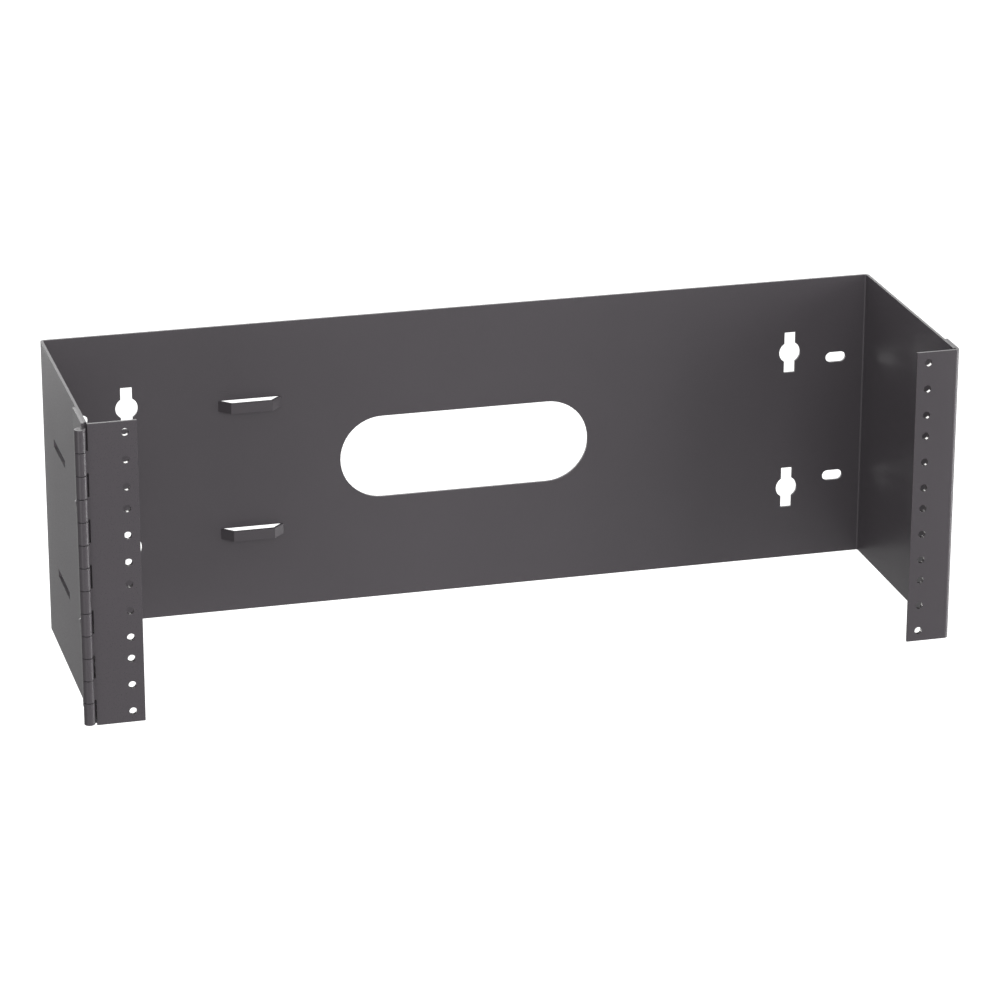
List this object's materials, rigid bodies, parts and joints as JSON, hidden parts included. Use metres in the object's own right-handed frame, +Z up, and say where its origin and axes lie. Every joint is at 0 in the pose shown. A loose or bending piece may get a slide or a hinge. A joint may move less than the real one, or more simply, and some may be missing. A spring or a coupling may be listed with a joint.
{
  "type": "wall mount open frame rack",
  "caption": "Open wall rack: a folded steel wall bracket with a fixed rail on one wing and a piano-hinged swing-out rail on the other, drilled for rack equipment.",
  "frame": {"origin": "middle of the back panel's wall face, halfway between the wings and at mid height", "axes": "+X to the right along the panel, +Y into the wall, +Z up; the rack stands out from the wall along -Y"},
  "size_m": [0.5146, 0.1564, 0.1778],
  "materials": {
    "bracket_coat": "satin dark grey powder coat on folded steel sheet",
    "hinge_coat": "satin dark grey powder coat on rolled steel strip",
    "pin_coat": "powder coated steel pin, cut off flush",
    "rivet_coat": "powder coated steel rivet",
    "swing_rail_coat": "satin dark grey powder coat on steel strip",
    "fixed_rail_coat": "satin dark grey powder coat on folded steel angle"
  },
  "bodies": {
    "bracket": {"wall_bracket": "bracket_coat", "hinge_leaf": "hinge_coat", "hinge_pin": "pin_coat", "fixed_rail": "fixed_rail_coat", "rivets": "rivet_coat"},
    "rail": {"swing_rail": "swing_rail_coat"}
  },
  "joints": [
    {"name": "rail_hinge", "type": "hinge", "parent": "bracket", "child": "rail", "pos_m": [-0.2554, -0.1533, 0], "axis": [0, 0, -1], "range_deg": [0, 270]}
  ]
}
